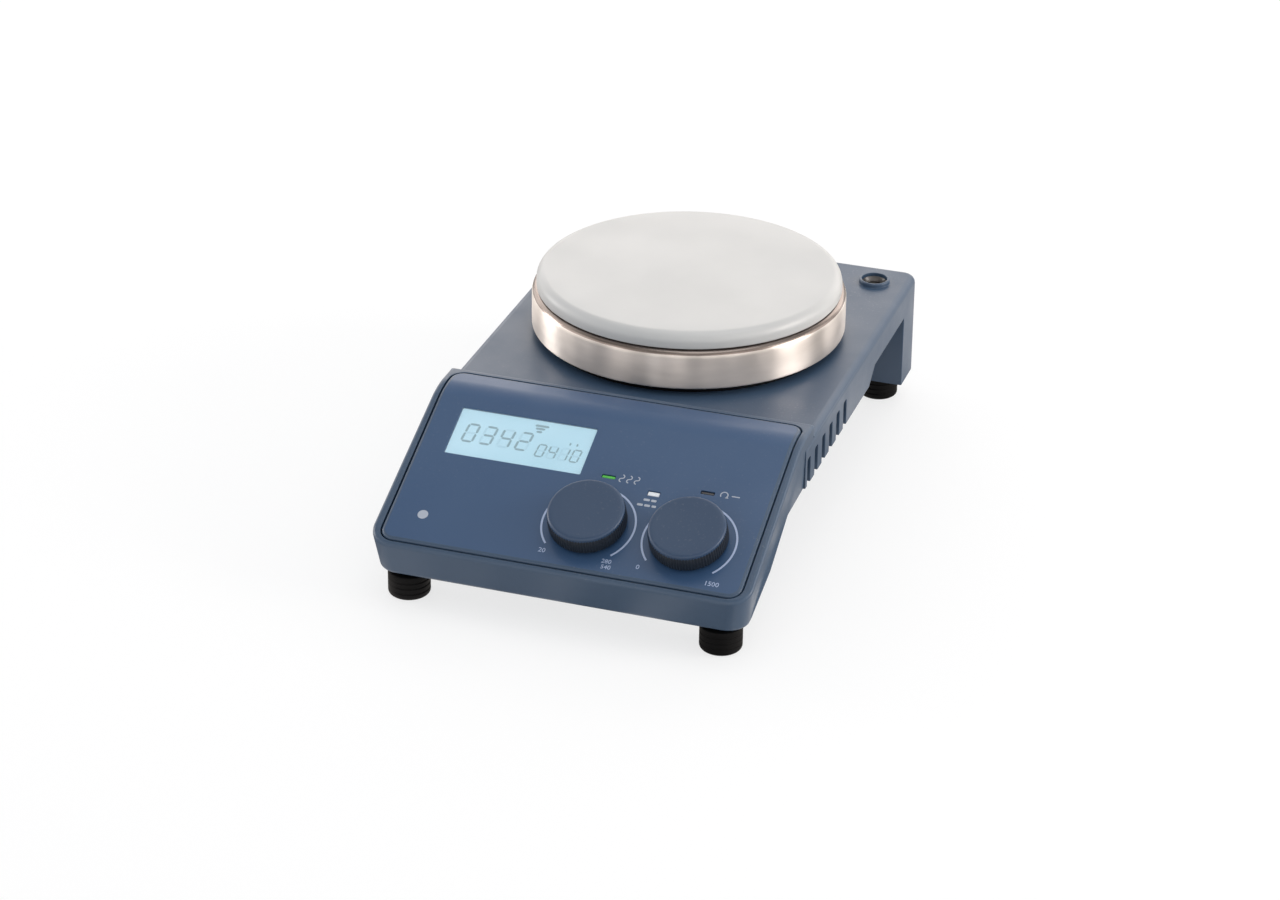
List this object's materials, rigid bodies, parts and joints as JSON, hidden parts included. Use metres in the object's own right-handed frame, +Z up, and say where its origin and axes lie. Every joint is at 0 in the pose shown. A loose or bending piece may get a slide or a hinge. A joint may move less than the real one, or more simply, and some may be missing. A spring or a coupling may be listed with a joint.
{
  "type": "magnetic stirrer with hot plate",
  "caption": "Bench magnetic stirrer with a round hot plate, a sloping control panel with display and two push-and-turn knobs, rubber feet and a support rod socket.",
  "frame": {"origin": "centre of the stirrer on the bench, under the middle of its length and width", "axes": "+X to the right seen from the front, +Y from the control panel to the rear, +Z up"},
  "size_m": [0.16, 0.264, 0.0845],
  "materials": {
    "housing_plastic": "slate blue-grey moulded casing, fine matt texture",
    "panel_plastic": "satin mid-blue overlay",
    "knob_plastic": "dark slate plastic, fine ribs on the rim",
    "black_rubber": "black moulded rubber",
    "white_plate_coating": "white enamel-like working surface, satin",
    "stainless_steel": "polished stainless steel",
    "zinc_steel": "zinc-plated steel",
    "aluminium": "machined aluminium",
    "black_plastic": "black moulded plastic",
    "board_green": "green circuit board",
    "lcd_glass": "pale blue backlit display",
    "clear_window": "clear display window",
    "green_lens": "lit green lamp lens",
    "dark_lens": "unlit lamp lens",
    "white_lens": "pale lamp lens",
    "ceramic_fibre": "pressed ceramic fibre board",
    "cast_element": "cast and laminated metal",
    "magnet": "nickel-plated magnet"
  },
  "bodies": {
    "casing": {"base_cover": "housing_plastic", "base_screw_1": "zinc_steel", "base_screw_2": "zinc_steel", "base_screw_3": "zinc_steel", "base_screw_4": "zinc_steel", "control_board": "board_green", "control_panel": "panel_plastic", "foot_front_left": "black_rubber", "foot_front_right": "black_rubber", "foot_rear_left": "black_rubber", "foot_rear_right": "black_rubber", "gasket_ring": "black_rubber", "heat_encoder_body": "black_plastic", "heat_encoder_nut": "zinc_steel", "heat_lamp": "green_lens", "heat_shield": "zinc_steel", "heat_sink": "aluminium", "heating_element": "cast_element", "heating_plate": "white_plate_coating", "hot_lamp": "white_lens", "insulation_disc": "ceramic_fibre", "lcd_cell": "lcd_glass", "lcd_frame": "black_plastic", "lcd_window": "clear_window", "mains_inlet": "black_plastic", "motor_bearing_lower": "stainless_steel", "motor_bearing_upper": "stainless_steel", "motor_bracket": "zinc_steel", "motor_housing": "zinc_steel", "plate_probe": "zinc_steel", "plate_seal": "black_rubber", "plate_skirt": "stainless_steel", "plate_spacer_1": "zinc_steel", "plate_spacer_2": "zinc_steel", "plate_spacer_3": "zinc_steel", "power_board": "board_green", "rear_panel": "black_plastic", "rod_insert": "zinc_steel", "sensor_socket": "zinc_steel", "serial_port": "zinc_steel", "stir_encoder_body": "black_plastic", "stir_encoder_nut": "zinc_steel", "stir_lamp": "dark_lens", "switch_frame": "black_plastic", "transformer": "black_plastic", "upper_housing": "housing_plastic"},
    "heat_rotor": {"heat_encoder_rotor": "aluminium"},
    "heat_control": {"heat_knob": "knob_plastic", "heat_shaft": "aluminium"},
    "stir_rotor": {"stir_encoder_rotor": "aluminium"},
    "stir_control": {"stir_knob": "knob_plastic", "stir_shaft": "aluminium"},
    "stir_drive": {"motor_rotor": "cast_element", "motor_shaft": "stainless_steel", "magnet_carrier": "aluminium", "drive_magnet_1": "magnet", "drive_magnet_2": "magnet"},
    "rocker": {"power_rocker": "black_plastic"},
    "drawer": {"fuse_drawer": "black_plastic"}
  },
  "joints": [
    {"name": "heat_turn", "type": "hinge", "parent": "casing", "child": "heat_rotor", "pos_m": [0.0063, -0.10826, 0.0376], "axis": [0, -0.4079, 0.913], "range_deg": [-150, 150]},
    {"name": "heat_push", "type": "slide", "parent": "heat_rotor", "child": "heat_control", "axis": [0, 0.4079, -0.913], "range_m": [0, 0.001], "stiffness_N_per_m": 1000, "springref_m": -0.002},
    {"name": "stir_turn", "type": "hinge", "parent": "casing", "child": "stir_rotor", "pos_m": [0.0484, -0.10826, 0.0376], "axis": [0, -0.4079, 0.913], "range_deg": [-150, 150]},
    {"name": "stir_push", "type": "slide", "parent": "stir_rotor", "child": "stir_control", "axis": [0, 0.4079, -0.913], "range_m": [0, 0.001], "stiffness_N_per_m": 1000, "springref_m": -0.002},
    {"name": "stir_drive_spin", "type": "hinge", "parent": "casing", "child": "stir_drive", "pos_m": [0, 0.0415, 0.045], "axis": [0, 0, 1], "continuous": true},
    {"name": "rocker_tip", "type": "hinge", "parent": "casing", "child": "rocker", "pos_m": [0.008, 0.1274, 0.0385], "axis": [1, 0, 0], "range_deg": [-16, 0]},
    {"name": "fuse_drawer_pull", "type": "slide", "parent": "casing", "child": "drawer", "axis": [0, 1, 0], "range_m": [0, 0.016]}
  ]
}
